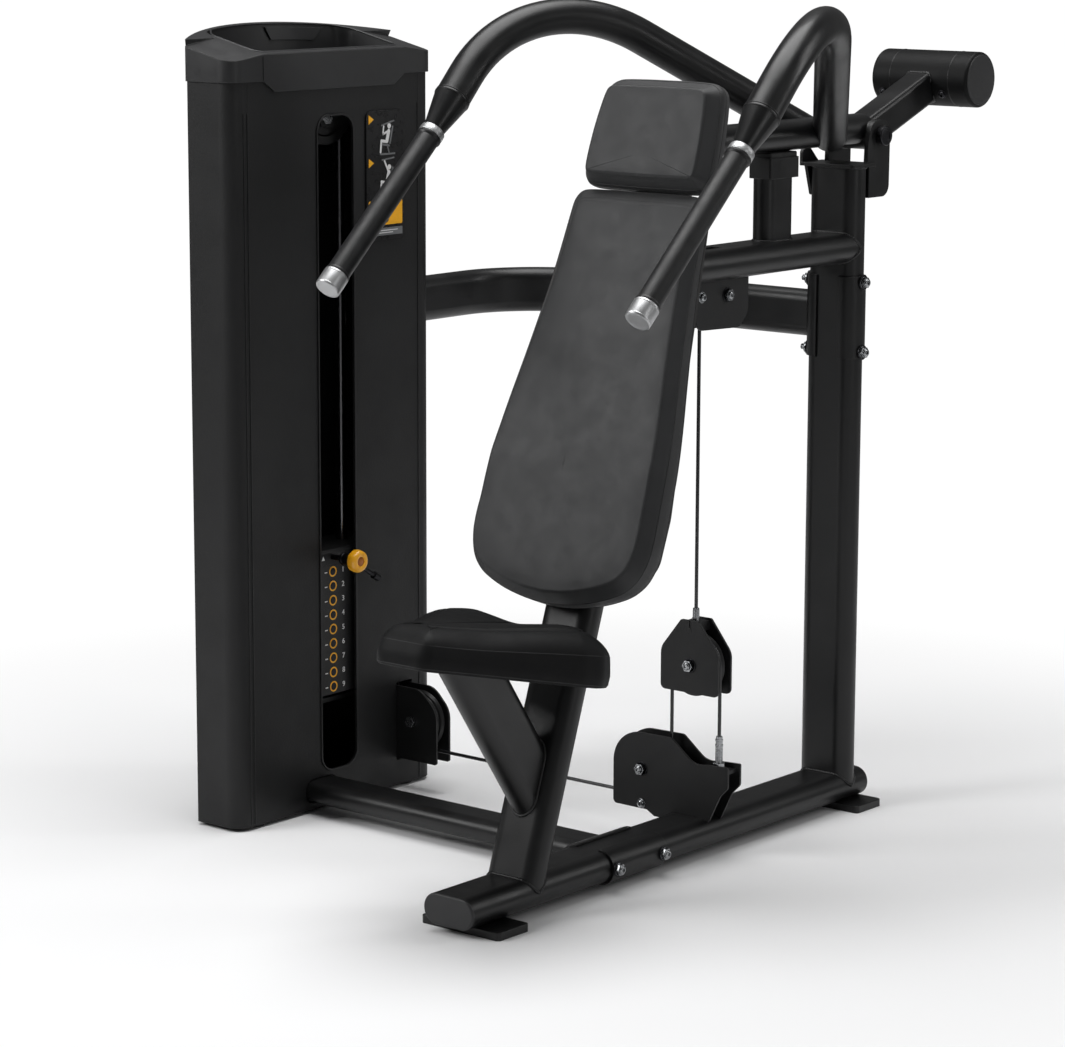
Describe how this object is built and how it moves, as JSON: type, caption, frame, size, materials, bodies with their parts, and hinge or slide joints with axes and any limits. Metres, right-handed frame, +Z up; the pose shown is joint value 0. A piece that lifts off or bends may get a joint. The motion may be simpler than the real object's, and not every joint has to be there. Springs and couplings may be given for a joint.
{
  "type": "shoulder press machine",
  "caption": "Plate-stack shoulder press: padded seat and back on a flat-oval frame, cable-driven press arm, shrouded weight tower with selector pin.",
  "frame": {"origin": "centre of the underside of the front foot plate, on the machine's centre plane", "axes": "+Z up; the user faces -Y, so the press pivot is at +Y; the weight tower stands at -X"},
  "size_m": [1.1563, 1.4473, 1.3978],
  "materials": {
    "frame_paint": "dark graphite powder coat, fine texture",
    "arm_paint": "dark graphite powder coat, fine texture",
    "bracket_paint": "black powder coat, satin",
    "end_cap_plastic": "moulded black plastic, satin",
    "zinc_steel": "zinc plated",
    "polished_steel": "ground and chromed",
    "pulley_nylon": "turned black nylon",
    "cable_jacket": "black nylon coated wire rope",
    "pad_vinyl": "fine grained charcoal vinyl",
    "pad_board": "plywood board, painted black",
    "grip_rubber": "smooth black rubber",
    "satin_aluminium": "turned, satin anodised",
    "tower_shell": "dark grey powder coat",
    "tower_cap_plastic": "moulded dark grey plastic",
    "window_rubber": "black edge trim",
    "placard_print": "printed panel, black with orange marks",
    "stack_iron": "black coated plates",
    "knob_orange": "moulded orange plastic",
    "pin_steel": "black oxide steel",
    "stop_rubber_black": "moulded rubber"
  },
  "bodies": {
    "frame": {"main_beam": "frame_paint", "floor_cross_tube": "frame_paint", "upright": "frame_paint", "back_tube": "frame_paint", "upper_beam": "frame_paint", "seat_strut": "frame_paint", "upper_cross_tube": "frame_paint", "stop_post": "frame_paint", "pivot_bracket": "frame_paint", "clamp_plates": "frame_paint", "foot_plates": "frame_paint", "guide_bracket": "bracket_paint", "lower_bracket": "bracket_paint", "base_guard": "bracket_paint", "tower_frame": "bracket_paint", "beam_end_caps": "end_cap_plastic", "joint_bolts": "zinc_steel", "pulley_axles": "zinc_steel", "anchor_stud": "zinc_steel", "guide_rods": "polished_steel", "arm_cable_upper": "cable_jacket", "arm_cable_lower": "cable_jacket", "block_cable_legs": "cable_jacket", "stack_cable": "cable_jacket", "stack_cable_drop": "cable_jacket", "seat_pad": "pad_vinyl", "back_pad": "pad_vinyl", "head_pad": "pad_vinyl", "pad_boards": "pad_board", "outer_shroud": "tower_shell", "inner_panel": "tower_shell", "tower_cap": "tower_cap_plastic", "window_trim": "window_rubber", "placard": "placard_print", "weight_plates": "stack_iron", "pivot_pin": "pin_steel", "stop_rubber": "stop_rubber_black", "stack_cushions": "stop_rubber_black"},
    "press_arm": {"arm_spine": "arm_paint", "arm_left": "arm_paint", "arm_right": "arm_paint", "grip_collars": "arm_paint", "grip_rings": "satin_aluminium", "grips": "grip_rubber", "grip_end_caps": "satin_aluminium", "counterweight_tube": "arm_paint", "counterweight": "arm_paint"},
    "pulley_block": {"block_frame": "bracket_paint", "block_axle": "zinc_steel", "block_cable_wrap": "cable_jacket"},
    "stack_carriage": {"head_plate": "stack_iron", "selector_stem": "polished_steel"},
    "selector": {"selector_pin": "pin_steel", "pin_knob": "knob_orange"},
    "guide_wheel": {"guide_pulley": "pulley_nylon"},
    "float_wheel": {"float_pulley": "pulley_nylon"},
    "lower_wheel": {"lower_pulley": "pulley_nylon"},
    "base_wheel": {"base_pulley": "pulley_nylon"},
    "top_front_wheel": {"top_front_pulley": "pulley_nylon"},
    "top_rear_wheel": {"top_rear_pulley": "pulley_nylon"}
  },
  "joints": [
    {"name": "press_arm_pivot", "type": "hinge", "parent": "frame", "child": "press_arm", "pos_m": [0, 1.006, 1.164], "axis": [-1, 0, 0], "range_deg": [0, 35], "deforming": ["arm_cable_upper"]},
    {"name": "block_lift", "type": "slide", "parent": "frame", "child": "pulley_block", "axis": [0, 0, 1], "range_m": [0, 0.28], "deforming": ["arm_cable_lower", "block_cable_legs"]},
    {"name": "stack_lift", "type": "slide", "parent": "frame", "child": "stack_carriage", "axis": [0, 0, 1], "range_m": [0, 0.56], "deforming": ["stack_cable_drop"]},
    {"name": "selector_pull", "type": "slide", "parent": "stack_carriage", "child": "selector", "axis": [1, 0, 0], "range_m": [0, 0.1]},
    {"name": "guide_spin", "type": "hinge", "parent": "frame", "child": "guide_wheel", "pos_m": [0, 0.608, 0.926], "axis": [-1, 0, 0], "range_deg": [0, 330]},
    {"name": "float_spin", "type": "hinge", "parent": "pulley_block", "child": "float_wheel", "pos_m": [0, 0.561, 0.318], "axis": [0, 1, 0], "range_deg": [0, 330]},
    {"name": "lower_spin", "type": "hinge", "parent": "frame", "child": "lower_wheel", "pos_m": [-0.098, 0.561, 0.127], "axis": [0, -1, 0], "range_deg": [0, 650]},
    {"name": "base_spin", "type": "hinge", "parent": "frame", "child": "base_wheel", "pos_m": [-0.61, 0.561, 0.127], "axis": [0, -1, 0], "range_deg": [0, 650]},
    {"name": "top_front_spin", "type": "hinge", "parent": "frame", "child": "top_front_wheel", "pos_m": [-0.70488, 0.42879, 1.188], "axis": [-0.9447, 0.3279, 0], "range_deg": [0, 800]},
    {"name": "top_rear_spin", "type": "hinge", "parent": "frame", "child": "top_rear_wheel", "pos_m": [-0.67212, 0.52321, 1.188], "axis": [-0.9447, 0.3279, 0], "range_deg": [0, 800]}
  ],
  "couplings": [
    {"joint": "block_lift", "follows": "press_arm_pivot", "m_per_rad": 0.447},
    {"joint": "stack_lift", "follows": "press_arm_pivot", "m_per_rad": 0.894},
    {"joint": "guide_spin", "follows": "press_arm_pivot", "ratio": 9.1224},
    {"joint": "float_spin", "follows": "press_arm_pivot", "ratio": 9.1224},
    {"joint": "lower_spin", "follows": "press_arm_pivot", "ratio": 18.245},
    {"joint": "base_spin", "follows": "press_arm_pivot", "ratio": 18.245},
    {"joint": "top_front_spin", "follows": "press_arm_pivot", "ratio": 22.35},
    {"joint": "top_rear_spin", "follows": "press_arm_pivot", "ratio": 22.35}
  ]
}
